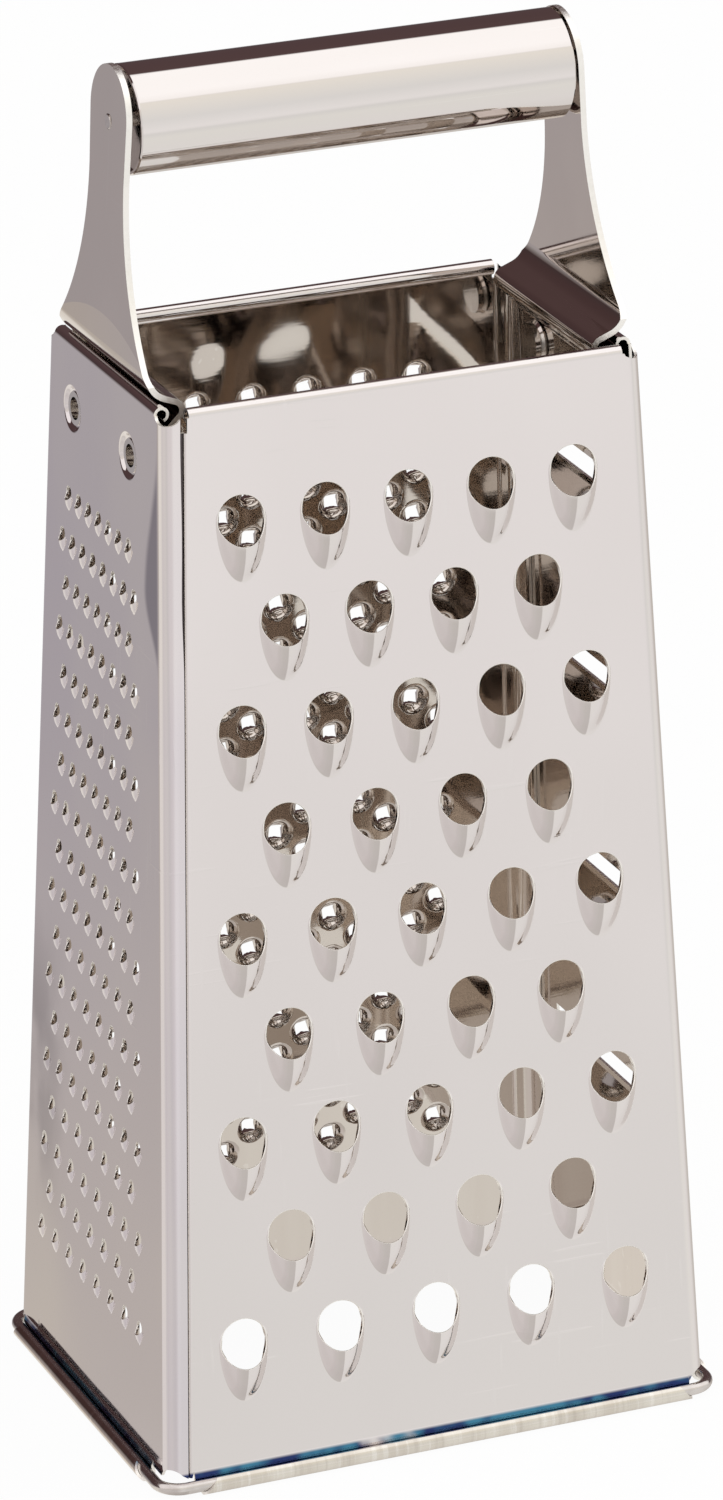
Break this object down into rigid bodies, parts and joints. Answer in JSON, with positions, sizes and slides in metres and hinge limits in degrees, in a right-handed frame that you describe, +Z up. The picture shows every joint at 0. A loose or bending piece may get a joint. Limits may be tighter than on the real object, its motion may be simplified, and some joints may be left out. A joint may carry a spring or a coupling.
{
  "type": "box grater",
  "caption": "Four-sided sheet steel box grater with coarse, fine, rasp and slicing sides and a tube handle on two brackets.",
  "frame": {"origin": "on the ground, at the middle of the footprint", "axes": "+Z up, -Y towards the coarse side, -X towards the fine side, the grip runs along X"},
  "size_m": [0.1022, 0.0764, 0.2335],
  "materials": {
    "body_steel": "bright rolled stainless sheet, edges as punched",
    "wire_steel": "drawn wire",
    "bracket_steel": "polished stainless sheet",
    "rivet_steel": "bright, hollow end outwards",
    "grip_steel": "polished tube",
    "cap_steel": "pressed cup",
    "rod_steel": "drawn rod"
  },
  "bodies": {
    "frame": {"front_panel": "body_steel", "left_panel": "body_steel", "back_panel": "body_steel", "right_panel": "body_steel", "base_wire": "wire_steel", "left_handle_bracket": "bracket_steel", "right_handle_bracket": "bracket_steel", "left_rivets": "rivet_steel", "right_rivets": "rivet_steel", "handle_rod": "rod_steel"},
    "grip": {"handle_tube": "grip_steel", "handle_left_cap": "cap_steel", "handle_right_cap": "cap_steel"}
  },
  "joints": [
    {"name": "grip_spin", "type": "hinge", "parent": "frame", "child": "grip", "pos_m": [0.00025, 0, 0.22435], "axis": [1, 0, 0], "continuous": true}
  ]
}
